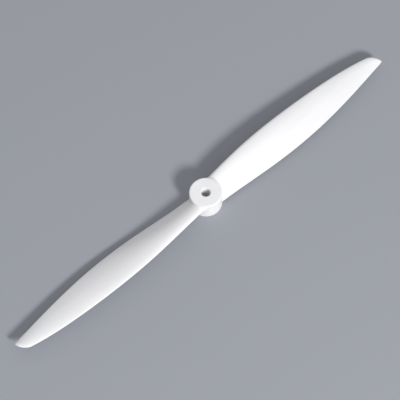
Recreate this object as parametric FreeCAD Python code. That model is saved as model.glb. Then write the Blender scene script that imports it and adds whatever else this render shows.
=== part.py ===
import FreeCAD, Part

import math
import os

# Two-bladed fixed-pitch propeller for an electric model aeroplane or motor glider.
#
# It is one moulding of white nylon: a drum-shaped hub with a plain shaft bore, and two twisted,
# cambered blades that grow out of the hub's wall.  The moulding is given as three solids that
# meet at the hub's wall and rim with no gap and no overlap: hub, blade_1 and blade_2.
#
# Frame, in millimetres: the origin is on the shaft axis at the hub's rear face, +Z points forward
# along the shaft (the way the propeller pulls), and +X runs out along blade_1.  Seen from the
# front it turns anticlockwise, so a blade's leading edge is the edge that stands further forward.

Vector = FreeCAD.Vector
SHAFT_AXIS = (Vector(0, 0, 0), Vector(0, 0, 1))

# Overall sizes
DIAMETER = 254.0  # a 10 inch propeller
PITCH = 101.6  # 4 inches of advance per turn
TIP_RADIUS = DIAMETER / 2

# Hub
HUB_DIAMETER = 17.4
HUB_HEIGHT = 11.0
BORE_DIAMETER = 5.0
BORE_CHAMFER = 0.3
FRONT_EDGE_RADIUS = 0.6  # rounding round the front face
REAR_EDGE_RADIUS = 0.4  # rounding round the rear face
HUB_RADIUS = HUB_DIAMETER / 2
BORE_RADIUS = BORE_DIAMETER / 2

# Blade sections
TWIST_AXIS_HEIGHT = 5.6  # the blades turn about this line, which crosses the shaft axis
ROOT_ANGLE = math.radians(30)  # the steepest that a blade stands, next to the hub
ANGLE_EASE = 4  # how sharply the helix gives way to the root angle
ROOT_THICKNESS = 4.0
TIP_THICKNESS = 1.0
THICKNESS_FALL = 1.5  # how fast the thickness falls from root to tip
TRAILING_EDGE_THICKNESS = 0.5
CAMBER_PER_THICKNESS = 0.4
MOST_CAMBER = 0.06  # share of the chord
ROOT_FILLET = 0.8  # how far the leading edge has swelled where it reaches the hub's wall

# How far the leading and trailing edges stand from the twist axis, measured along the chord, at
# shares of the tip radius.  A smooth polynomial runs through each set.
LEADING_EDGE = ((0.0, 6.4), (0.15, 8.9), (0.35, 10.8), (0.6, 10.8), (0.85, 8.6), (1.0, 5.0))
TRAILING_EDGE = ((0.0, 7.0), (0.15, 7.4), (0.35, 8.5), (0.6, 7.7), (0.85, 3.6), (1.0, 0.4))
TIP_ROUND = 5.2  # length over which the leading edge rounds in to the tip

# Where the sections stand along the blade, and round its tip in degrees of the rounding.  They
# start on the shaft axis, inside the hub, so that the hub trims the root.
SECTIONS_TO_TIP_ROUND = 26
ROOT_CROWDING = 1.7  # over 1 sets the sections closer together towards the root
TIP_ANGLES = (15, 30, 45, 58, 70, 80)
SPANS_PER_SIDE = 14  # spline spans from leading edge to trailing edge


def through(stations, x):
    """The polynomial that runs through all the stations, at x."""
    total = 0.0
    for i, (at, value) in enumerate(stations):
        others = [other for j, (other, _) in enumerate(stations) if j != i]
        total += value * math.prod((x - other) / (at - other) for other in others)
    return total


def twist_angle(r):
    """Blade angle in radians: a constant-pitch helix that eases to the root angle near the hub."""
    helix = math.atan2(PITCH, 2 * math.pi * r)
    return (helix**-ANGLE_EASE + ROOT_ANGLE**-ANGLE_EASE) ** (-1 / ANGLE_EASE)


def tip_share(r):
    """Share of the full chord left at r: 1 as far as the tip rounding, then a quarter ellipse."""
    into_tip = max(0.0, (r - (TIP_RADIUS - TIP_ROUND)) / TIP_ROUND)
    return math.sqrt(1.0 - into_tip**2)


def section_sizes(r):
    """Leading offset, chord and thickness of the section at r."""
    trailing = through(TRAILING_EDGE, r / TIP_RADIUS)
    chord = (through(LEADING_EDGE, r / TIP_RADIUS) + trailing) * tip_share(r)
    fall = (1 - r / TIP_RADIUS) ** THICKNESS_FALL
    thickness = TIP_THICKNESS + (ROOT_THICKNESS - TIP_THICKNESS) * fall
    return chord - trailing, chord, thickness * math.sqrt(tip_share(r))


def side_heights(x, chord, thickness):
    """Heights of the front and rear faces over the chord line, at share x of the chord."""
    bow = 0.2969 * math.sqrt(x) - 0.1260 * x - 0.3516 * x**2 + 0.2843 * x**3 - 0.1036 * x**4
    edge = min(TRAILING_EDGE_THICKNESS, thickness / 2)
    half = 5 * thickness * bow + x * edge / 2
    camber = min(CAMBER_PER_THICKNESS * thickness / chord, MOST_CAMBER)
    middle = 4 * camber * chord * x * (1 - x)
    return middle + half, middle - half


def swelling(point, around):
    """How far the skin stands out at a point near the hub, which makes the fillet at the root.

    The fillet is fullest at the leading edge, where around is 0, and fades out at the trailing one.
    """
    from_wall = max(0, math.hypot(point.x, point.y) - HUB_RADIUS)
    fullness = (1 + math.cos(around)) / 2
    return fullness * ROOT_FILLET * (1 - math.tanh(from_wall / ROOT_FILLET))


def spline(points):
    """A smooth curve through the points, with the same knots for every section."""
    curve = Part.BSplineCurve()
    curve.interpolate(Points=points, Parameters=[i / SPANS_PER_SIDE for i in range(len(points))])
    return curve


def section(r):
    """The closed aerofoil wire at distance r from the shaft axis, in the plane X = r."""
    leading, chord, thickness = section_sizes(r)
    angle = twist_angle(r)
    forward = Vector(0, math.cos(angle), math.sin(angle))
    upward = Vector(0, -math.sin(angle), math.cos(angle))
    nose = Vector(r, 0, TWIST_AXIS_HEIGHT) + forward * leading
    front, rear = [], []
    for i in range(SPANS_PER_SIDE + 1):
        around = math.pi * i / SPANS_PER_SIDE
        x = (1 - math.cos(around)) / 2
        for side, height, points in zip((1, -1), side_heights(x, chord, thickness), (front, rear)):
            skin = nose - forward * (x * chord) + upward * height
            outward = forward * math.cos(around) + upward * (side * math.sin(around))
            points.append(skin + outward * swelling(skin, around))
    edge_middle = (front[-1] + rear[-1]) / 2
    edge_bulge = edge_middle - forward * (front[-1].distanceToPoint(rear[-1]) / 2)
    curves = (spline(front), Part.Arc(front[-1], edge_bulge, rear[-1]), spline(rear[::-1]))
    return Part.Wire([curve.toShape() for curve in curves])


def corner(radius, height):
    """A point of the hub's outline, in the plane that the outline is drawn in."""
    return Vector(0, radius, height)


def turned_drum(inside):
    """The drum with rounded rims, turned about the shaft axis; inside closes its outline."""
    halfway = 1 - math.sqrt(0.5)
    rear_arc = (
        corner(HUB_RADIUS - REAR_EDGE_RADIUS, 0),
        corner(HUB_RADIUS - REAR_EDGE_RADIUS * halfway, REAR_EDGE_RADIUS * halfway),
        corner(HUB_RADIUS, REAR_EDGE_RADIUS),
    )
    front_arc = (
        corner(HUB_RADIUS, HUB_HEIGHT - FRONT_EDGE_RADIUS),
        corner(HUB_RADIUS - FRONT_EDGE_RADIUS * halfway, HUB_HEIGHT - FRONT_EDGE_RADIUS * halfway),
        corner(HUB_RADIUS - FRONT_EDGE_RADIUS, HUB_HEIGHT),
    )
    curves = [Part.Arc(*rear_arc), Part.LineSegment(rear_arc[2], front_arc[0]), Part.Arc(*front_arc)]
    corners = (front_arc[2], *inside, rear_arc[0])
    curves += [Part.LineSegment(start, end) for start, end in zip(corners, corners[1:])]
    outline = Part.Wire([curve.toShape() for curve in curves])
    return Part.Face(outline).revolve(*SHAFT_AXIS, 360)


def hub():
    """The drum with its chamfered bore."""
    mouth = BORE_RADIUS + BORE_CHAMFER
    front_mouth = (corner(mouth, HUB_HEIGHT), corner(BORE_RADIUS, HUB_HEIGHT - BORE_CHAMFER))
    rear_mouth = (corner(BORE_RADIUS, BORE_CHAMFER), corner(mouth, 0))
    return turned_drum(front_mouth + rear_mouth)


def blade():
    """blade_1: the lofted sections along +X, trimmed where they come out of the hub."""
    straight_end = TIP_RADIUS - TIP_ROUND
    shares = [i / SECTIONS_TO_TIP_ROUND for i in range(SECTIONS_TO_TIP_ROUND + 1)]
    radii = [straight_end * share**ROOT_CROWDING for share in shares]
    radii += [straight_end + TIP_ROUND * math.sin(math.radians(a)) for a in TIP_ANGLES]
    whole = Part.makeLoft([section(r) for r in radii], True, False)
    hub_without_bore = turned_drum((corner(0, HUB_HEIGHT), corner(0, 0)))
    return max(whole.cut(hub_without_bore).Solids, key=lambda solid: solid.Volume)


def main():
    first = blade()
    second = first.copy()
    second.rotate(*SHAFT_AXIS, 180)
    os.makedirs("parts", exist_ok=True)
    for name, shape in (("hub", hub()), ("blade_1", first), ("blade_2", second)):
        shape.exportStep(f"parts/{name}.step")
        print(name, "valid:", shape.isValid(), "volume in mm3:", round(shape.Volume))


main()
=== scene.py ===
import math

import bpy
from mathutils import Matrix, Vector


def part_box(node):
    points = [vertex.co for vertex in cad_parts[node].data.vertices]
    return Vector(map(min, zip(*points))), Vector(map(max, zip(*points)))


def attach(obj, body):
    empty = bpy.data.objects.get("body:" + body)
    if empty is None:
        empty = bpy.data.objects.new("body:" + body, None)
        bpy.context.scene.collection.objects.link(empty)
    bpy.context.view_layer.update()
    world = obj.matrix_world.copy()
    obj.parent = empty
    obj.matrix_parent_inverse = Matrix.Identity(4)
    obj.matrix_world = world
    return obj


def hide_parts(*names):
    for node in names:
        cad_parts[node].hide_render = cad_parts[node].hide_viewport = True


# A white moulded two-bladed propeller on a plain pale floor.  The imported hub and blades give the
# sizes and places; the meshes made here stand for them, with the shape and skin of the moulding.
# Lengths of the propeller are in millimetres, and MM turns them into Blender's metres.

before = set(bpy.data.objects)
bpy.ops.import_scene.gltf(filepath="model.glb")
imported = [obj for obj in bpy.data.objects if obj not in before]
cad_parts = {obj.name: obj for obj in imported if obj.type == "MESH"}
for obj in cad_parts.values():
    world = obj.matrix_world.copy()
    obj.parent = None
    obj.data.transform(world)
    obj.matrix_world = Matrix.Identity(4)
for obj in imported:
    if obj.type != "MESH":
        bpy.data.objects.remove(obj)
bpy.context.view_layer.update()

MM = 0.001
hub_low, hub_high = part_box("hub")
HUB_RADIUS = hub_high.x / MM
HUB_HEIGHT = hub_high.z / MM

# Hub
BORE_RADIUS = 2.5
BORE_ROUNDING = 0.3  # soft edge at both mouths of the bore
FRONT_EDGE_RADIUS = 0.6
REAR_EDGE_RADIUS = 0.4
HUB_SEGMENTS = 144
STEPS_PER_ROUNDING = 8
STEPS_PER_WALL = 10  # along each straight part of the hub's outline

# Blades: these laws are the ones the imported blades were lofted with
TIP_RADIUS = 127.0
PITCH = 101.6
TWIST_AXIS_HEIGHT = 5.6
ROOT_ANGLE = math.radians(30)
ANGLE_EASE = 4  # how sharply the helix gives way to the root angle
ROOT_THICKNESS = 4.0
TIP_THICKNESS = 1.0
THICKNESS_FALL = 1.5  # how fast the thickness falls from root to tip
TRAILING_EDGE_THICKNESS = 0.5
CAMBER_PER_THICKNESS = 0.4
MOST_CAMBER = 0.06  # share of the chord
ROOT_FILLET = 0.8  # how far the leading edge has swelled where it reaches the hub's wall
LEADING_EDGE = ((0.0, 6.4), (0.15, 8.9), (0.35, 10.8), (0.6, 10.8), (0.85, 8.6), (1.0, 5.0))
TRAILING_EDGE = ((0.0, 7.0), (0.15, 7.4), (0.35, 8.5), (0.6, 7.7), (0.85, 3.6), (1.0, 0.4))
TIP_ROUND = 5.2  # length over which the leading edge rounds in to the tip
PARTING_LINE = 0.04  # how proud the two mould halves leave a line along each blade edge
SUNK_IN_HUB = 0.7  # the blades' roots end this far inside the hub's wall

# Blade mesh
STEPS_PER_SIDE = 44  # from leading edge to trailing edge
STEPS_ROUND_TRAILING_EDGE = 4
ROOT_ROWS = 14
ROOT_ROWS_REACH = 3.0  # length over which the rows stand closer together, to shape the fillet
ROOT_ROWS_CROWDING = 1.5
BODY_ROWS = 100
TIP_ROWS = 22
LAST_TIP_ANGLE = math.radians(86)  # round the tip, where the small flat end closes the blade
HALVINGS = 40  # of the interval in which a line of the skin meets the root's end

# Set, in metres
FLOOR_SIZE = 6.0
KEY_DISTANCE = 2.0
CAMERA_DISTANCE = 0.959


def through(stations, x):
    """The polynomial that runs through all the stations, at x."""
    total = 0.0
    for i, (at, value) in enumerate(stations):
        others = [other for j, (other, _) in enumerate(stations) if j != i]
        total += value * math.prod((x - other) / (at - other) for other in others)
    return total


def section_frame(r):
    """Nose, chordwise and upward directions, chord and thickness of the blade section at r."""
    share = r / TIP_RADIUS
    helix = math.atan2(PITCH, 2 * math.pi * r)
    angle = (helix**-ANGLE_EASE + ROOT_ANGLE**-ANGLE_EASE) ** (-1 / ANGLE_EASE)
    into_tip = max(0.0, (r - (TIP_RADIUS - TIP_ROUND)) / TIP_ROUND)
    left = math.sqrt(1 - into_tip**2)
    trailing = through(TRAILING_EDGE, share)
    chord = (through(LEADING_EDGE, share) + trailing) * left
    fall = (1 - share) ** THICKNESS_FALL
    thickness = (TIP_THICKNESS + (ROOT_THICKNESS - TIP_THICKNESS) * fall) * math.sqrt(left)
    forward = Vector((0, math.cos(angle), math.sin(angle)))
    upward = Vector((0, -math.sin(angle), math.cos(angle)))
    nose = Vector((r, 0, TWIST_AXIS_HEIGHT)) + forward * (chord - trailing)
    return nose, forward, upward, chord, thickness


def skin(r, around, side):
    """A point on blade_1's skin and its outward direction.

    around runs from 0 at the leading edge to pi at the trailing edge, and side is 1 for the front
    face and -1 for the rear one.  Close to the hub the skin swells into a fillet, which is fullest
    at the leading edge.
    """
    nose, forward, upward, chord, thickness = section_frame(r)
    x = (1 - math.cos(around)) / 2
    bow = 0.2969 * math.sqrt(x) - 0.1260 * x - 0.3516 * x**2 + 0.2843 * x**3 - 0.1036 * x**4
    edge = min(TRAILING_EDGE_THICKNESS, thickness / 2)
    camber = 4 * min(CAMBER_PER_THICKNESS * thickness / chord, MOST_CAMBER) * chord * x * (1 - x)
    height = camber + side * (5 * thickness * bow + x * edge / 2)
    bare = nose - forward * (x * chord) + upward * height
    outward = forward * math.cos(around) + upward * (side * math.sin(around))
    from_wall = max(0, math.hypot(bare.x, bare.y) - HUB_RADIUS)
    fullness = (1 + math.cos(around)) / 2
    swelling = fullness * ROOT_FILLET * (1 - math.tanh(from_wall / ROOT_FILLET))
    return bare + outward * swelling, outward


def root_end(around, side):
    """How far out along the blade this line of the skin starts, just inside the hub's wall."""
    low, high = 0.0, HUB_RADIUS + ROOT_FILLET
    for _ in range(HALVINGS):
        middle = (low + high) / 2
        point, _ = skin(middle, around, side)
        if math.hypot(point.x, point.y) < HUB_RADIUS - SUNK_IN_HUB:
            low = middle
        else:
            high = middle
    return high


def row_shares():
    """Rows of the blade mesh, as shares of the way from the root's end to the end of the tip."""
    length = TIP_RADIUS - HUB_RADIUS
    tip_start = length - TIP_ROUND
    body_length = tip_start - ROOT_ROWS_REACH
    tip_angles = [LAST_TIP_ANGLE * i / TIP_ROWS for i in range(TIP_ROWS + 1)]
    root = [ROOT_ROWS_REACH * (i / ROOT_ROWS) ** ROOT_ROWS_CROWDING for i in range(ROOT_ROWS)]
    body = [ROOT_ROWS_REACH + body_length * i / BODY_ROWS for i in range(BODY_ROWS)]
    tip = [tip_start + TIP_ROUND * math.sin(angle) for angle in tip_angles]
    return [out / length for out in root + body + tip]


def blade_ring(share, lines):
    """One closed row of points round the blade: front face, rounded trailing edge, rear face."""
    points = []
    for around, side, start in lines:
        r = start + (TIP_RADIUS - start) * share
        point, outward = skin(r, around, side)
        if around == 0:
            point += outward * PARTING_LINE
        points.append(point)
    front_end, rear_end = points[STEPS_PER_SIDE], points[STEPS_PER_SIDE + 1]
    middle = (front_end + rear_end) / 2
    half = (front_end - rear_end) / 2
    back = Vector((0, half.z, -half.y))
    rounding = []
    for i in range(1, STEPS_ROUND_TRAILING_EDGE):
        turn = math.pi * i / STEPS_ROUND_TRAILING_EDGE
        proud = PARTING_LINE / half.length if 2 * i == STEPS_ROUND_TRAILING_EDGE else 0
        rounding.append(middle + half * math.cos(turn) - back * (math.sin(turn) + proud))
    return points[: STEPS_PER_SIDE + 1] + rounding + points[STEPS_PER_SIDE + 1 :]


def mesh_object(name, points, faces):
    """A smooth-shaded mesh from points in millimetres."""
    mesh = bpy.data.meshes.new(name)
    mesh.from_pydata([tuple(point * MM) for point in points], [], faces)
    mesh.validate()
    mesh.update()
    mesh.shade_smooth()
    piece = bpy.data.objects.new(name, mesh)
    bpy.context.scene.collection.objects.link(piece)
    return piece


def grid_faces(rows, columns, closed_rows=False):
    """Quads between neighbouring closed rings; closed_rows joins the last ring to the first."""
    faces = []
    for j in range(rows if closed_rows else rows - 1):
        here, there = j * columns, (j + 1) % rows * columns
        for i in range(columns):
            following = (i + 1) % columns
            faces.append((here + i, here + following, there + following, there + i))
    return faces


def end_faces(first, columns):
    """Faces that close an end of the blade, each from the front face across to the rear face."""
    faces = []
    for i in range(columns // 2):
        corners = (i, i + 1, columns - i - 1, (columns - i) % columns)
        faces.append([first + corner for corner in dict.fromkeys(corners)])
    return faces


def blade(name, turn):
    """A blade, turned about the shaft axis by that angle."""
    steps = [math.pi * i / STEPS_PER_SIDE for i in range(STEPS_PER_SIDE + 1)]
    lines = [(around, 1, root_end(around, 1)) for around in steps]
    lines += [(around, -1, root_end(around, -1)) for around in steps[:0:-1]]
    rings = [blade_ring(share, lines) for share in row_shares()]
    columns = len(rings[0])
    points = [point for ring in rings for point in ring]
    faces = grid_faces(len(rings), columns)
    faces += [face[::-1] for face in end_faces(0, columns)]
    faces += end_faces(len(points) - columns, columns)
    rotation = Matrix.Rotation(turn, 3, "Z")
    return mesh_object(name, [rotation @ point for point in points], faces)


def rounded_corner(radius, height, rounding, start):
    """A quarter round of the hub's outline about that centre, from start in degrees of turn."""
    angles = [math.radians(start + 90 * i / STEPS_PER_ROUNDING) for i in range(STEPS_PER_ROUNDING + 1)]
    return [(radius + rounding * math.cos(a), height + rounding * math.sin(a)) for a in angles]


def between(start, end):
    """Evenly spaced points of the hub's outline between two of its corners."""
    shares = [i / STEPS_PER_WALL for i in range(1, STEPS_PER_WALL)]
    return [tuple(a + (b - a) * share for a, b in zip(start, end)) for share in shares]


def hub(name):
    """The hub, turned about the shaft axis from one closed outline."""
    mouth = BORE_RADIUS + BORE_ROUNDING
    front, rear = FRONT_EDGE_RADIUS, REAR_EDGE_RADIUS
    corners = [
        rounded_corner(HUB_RADIUS - rear, rear, rear, -90),
        rounded_corner(HUB_RADIUS - front, HUB_HEIGHT - front, front, 0),
        rounded_corner(mouth, HUB_HEIGHT - BORE_ROUNDING, BORE_ROUNDING, 90),
        rounded_corner(mouth, BORE_ROUNDING, BORE_ROUNDING, 180),
    ]
    outline = []
    for corner, following in zip(corners, corners[1:] + corners[:1]):
        outline += corner + between(corner[-1], following[0])
    turns = [2 * math.pi * i / HUB_SEGMENTS for i in range(HUB_SEGMENTS)]
    points = [
        Vector((radius * math.cos(turn), radius * math.sin(turn), height))
        for radius, height in outline
        for turn in turns
    ]
    return mesh_object(name, points, grid_faces(len(outline), HUB_SEGMENTS, closed_rows=True))


def white_nylon():
    """White moulded nylon: soft gloss, a faint flow pattern along the blades, a fine mould texture."""
    material = bpy.data.materials.new("white_nylon")
    material.use_nodes = True
    nodes, links = material.node_tree.nodes, material.node_tree.links
    shader = nodes["Principled BSDF"]
    shader.inputs["IOR"].default_value = 1.53
    shader.inputs["Subsurface Weight"].default_value = 0.3
    shader.inputs["Subsurface Radius"].default_value = (1.0, 0.95, 0.9)
    shader.inputs["Subsurface Scale"].default_value = 0.002
    place = nodes.new("ShaderNodeTexCoord")

    flow_place = nodes.new("ShaderNodeMapping")
    flow_place.inputs["Scale"].default_value = (40, 260, 260)
    links.new(place.outputs["Object"], flow_place.inputs["Vector"])
    flow = nodes.new("ShaderNodeTexNoise")
    flow.inputs["Scale"].default_value = 1.0
    flow.inputs["Detail"].default_value = 4.0
    links.new(flow_place.outputs["Vector"], flow.inputs["Vector"])

    tint = nodes.new("ShaderNodeValToRGB")
    tint.color_ramp.elements[0].position = 0.3
    tint.color_ramp.elements[0].color = (0.885, 0.885, 0.89, 1)
    tint.color_ramp.elements[1].position = 0.7
    tint.color_ramp.elements[1].color = (0.925, 0.925, 0.93, 1)
    links.new(flow.outputs["Fac"], tint.inputs["Fac"])
    links.new(tint.outputs["Color"], shader.inputs["Base Color"])

    gloss = nodes.new("ShaderNodeMapRange")
    gloss.inputs["To Min"].default_value = 0.34
    gloss.inputs["To Max"].default_value = 0.46
    links.new(flow.outputs["Fac"], gloss.inputs["Value"])
    links.new(gloss.outputs["Result"], shader.inputs["Roughness"])

    grain = nodes.new("ShaderNodeTexNoise")
    grain.inputs["Scale"].default_value = 2400
    grain.inputs["Detail"].default_value = 3.0
    links.new(place.outputs["Object"], grain.inputs["Vector"])
    relief = nodes.new("ShaderNodeBump")
    relief.inputs["Strength"].default_value = 0.35
    relief.inputs["Distance"].default_value = 0.00003
    links.new(grain.outputs["Fac"], relief.inputs["Height"])
    links.new(relief.outputs["Normal"], shader.inputs["Normal"])
    return material


def floor():
    """A plain pale floor at the height of the hub's rear face."""
    half = FLOOR_SIZE / 2
    mesh = bpy.data.meshes.new("floor")
    corners = [(-half, -half, 0), (half, -half, 0), (half, half, 0), (-half, half, 0)]
    mesh.from_pydata(corners, [], [(0, 1, 2, 3)])
    material = bpy.data.materials.new("floor_grey")
    material.use_nodes = True
    shader = material.node_tree.nodes["Principled BSDF"]
    shader.inputs["Base Color"].default_value = (0.343, 0.358, 0.393, 1)
    shader.inputs["Roughness"].default_value = 0.9
    mesh.materials.append(material)
    plane = bpy.data.objects.new("floor", mesh)
    bpy.context.scene.collection.objects.link(plane)


def towards(azimuth, elevation):
    """The direction from the object towards something at that azimuth and elevation, in degrees."""
    a, e = math.radians(azimuth), math.radians(elevation)
    return Vector((math.sin(a) * math.cos(e), -math.cos(a) * math.cos(e), math.sin(e)))


def lights():
    """One soft key light from the camera's right, and an even pale surround."""
    key = bpy.data.lights.new("key", "AREA")
    key.shape = "DISK"
    key.size = 0.4
    key.energy = 32
    lamp = bpy.data.objects.new("key", key)
    direction = towards(-8, 34)
    lamp.location = direction * KEY_DISTANCE
    lamp.rotation_euler = direction.to_track_quat("Z", "Y").to_euler()
    bpy.context.scene.collection.objects.link(lamp)
    world = bpy.data.worlds.new("surround")
    world.use_nodes = True
    surround = world.node_tree.nodes["Background"]
    surround.inputs["Color"].default_value = (0.975, 0.975, 1.0, 1)
    surround.inputs["Strength"].default_value = 0.5
    bpy.context.scene.world = world


def camera():
    """The camera, high over the propeller and at 42 degrees to its length."""
    data = bpy.data.cameras.new("camera")
    data.sensor_width = 36
    data.lens = 164.3
    eye = bpy.data.objects.new("camera", data)
    back = towards(-41.3, 62)
    target = Vector((-1.465, 2.93, 0)) * MM
    eye.location = target + back * CAMERA_DISTANCE
    eye.rotation_euler = back.to_track_quat("Z", "Y").to_euler()
    bpy.context.scene.collection.objects.link(eye)
    bpy.context.scene.camera = eye


def main():
    """The three regions of the moulding, then what stands round them."""
    nylon = white_nylon()
    pieces = {
        "hub": hub("hub_moulding"),
        "blade_1": blade("blade_1_moulding", 0),
        "blade_2": blade("blade_2_moulding", math.pi),
    }
    for node, piece in pieces.items():
        piece.data.materials.append(nylon)
        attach(piece, "root")
        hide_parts(node)
    floor()
    lights()
    camera()
    bpy.context.scene.view_settings.view_transform = "Standard"


main()
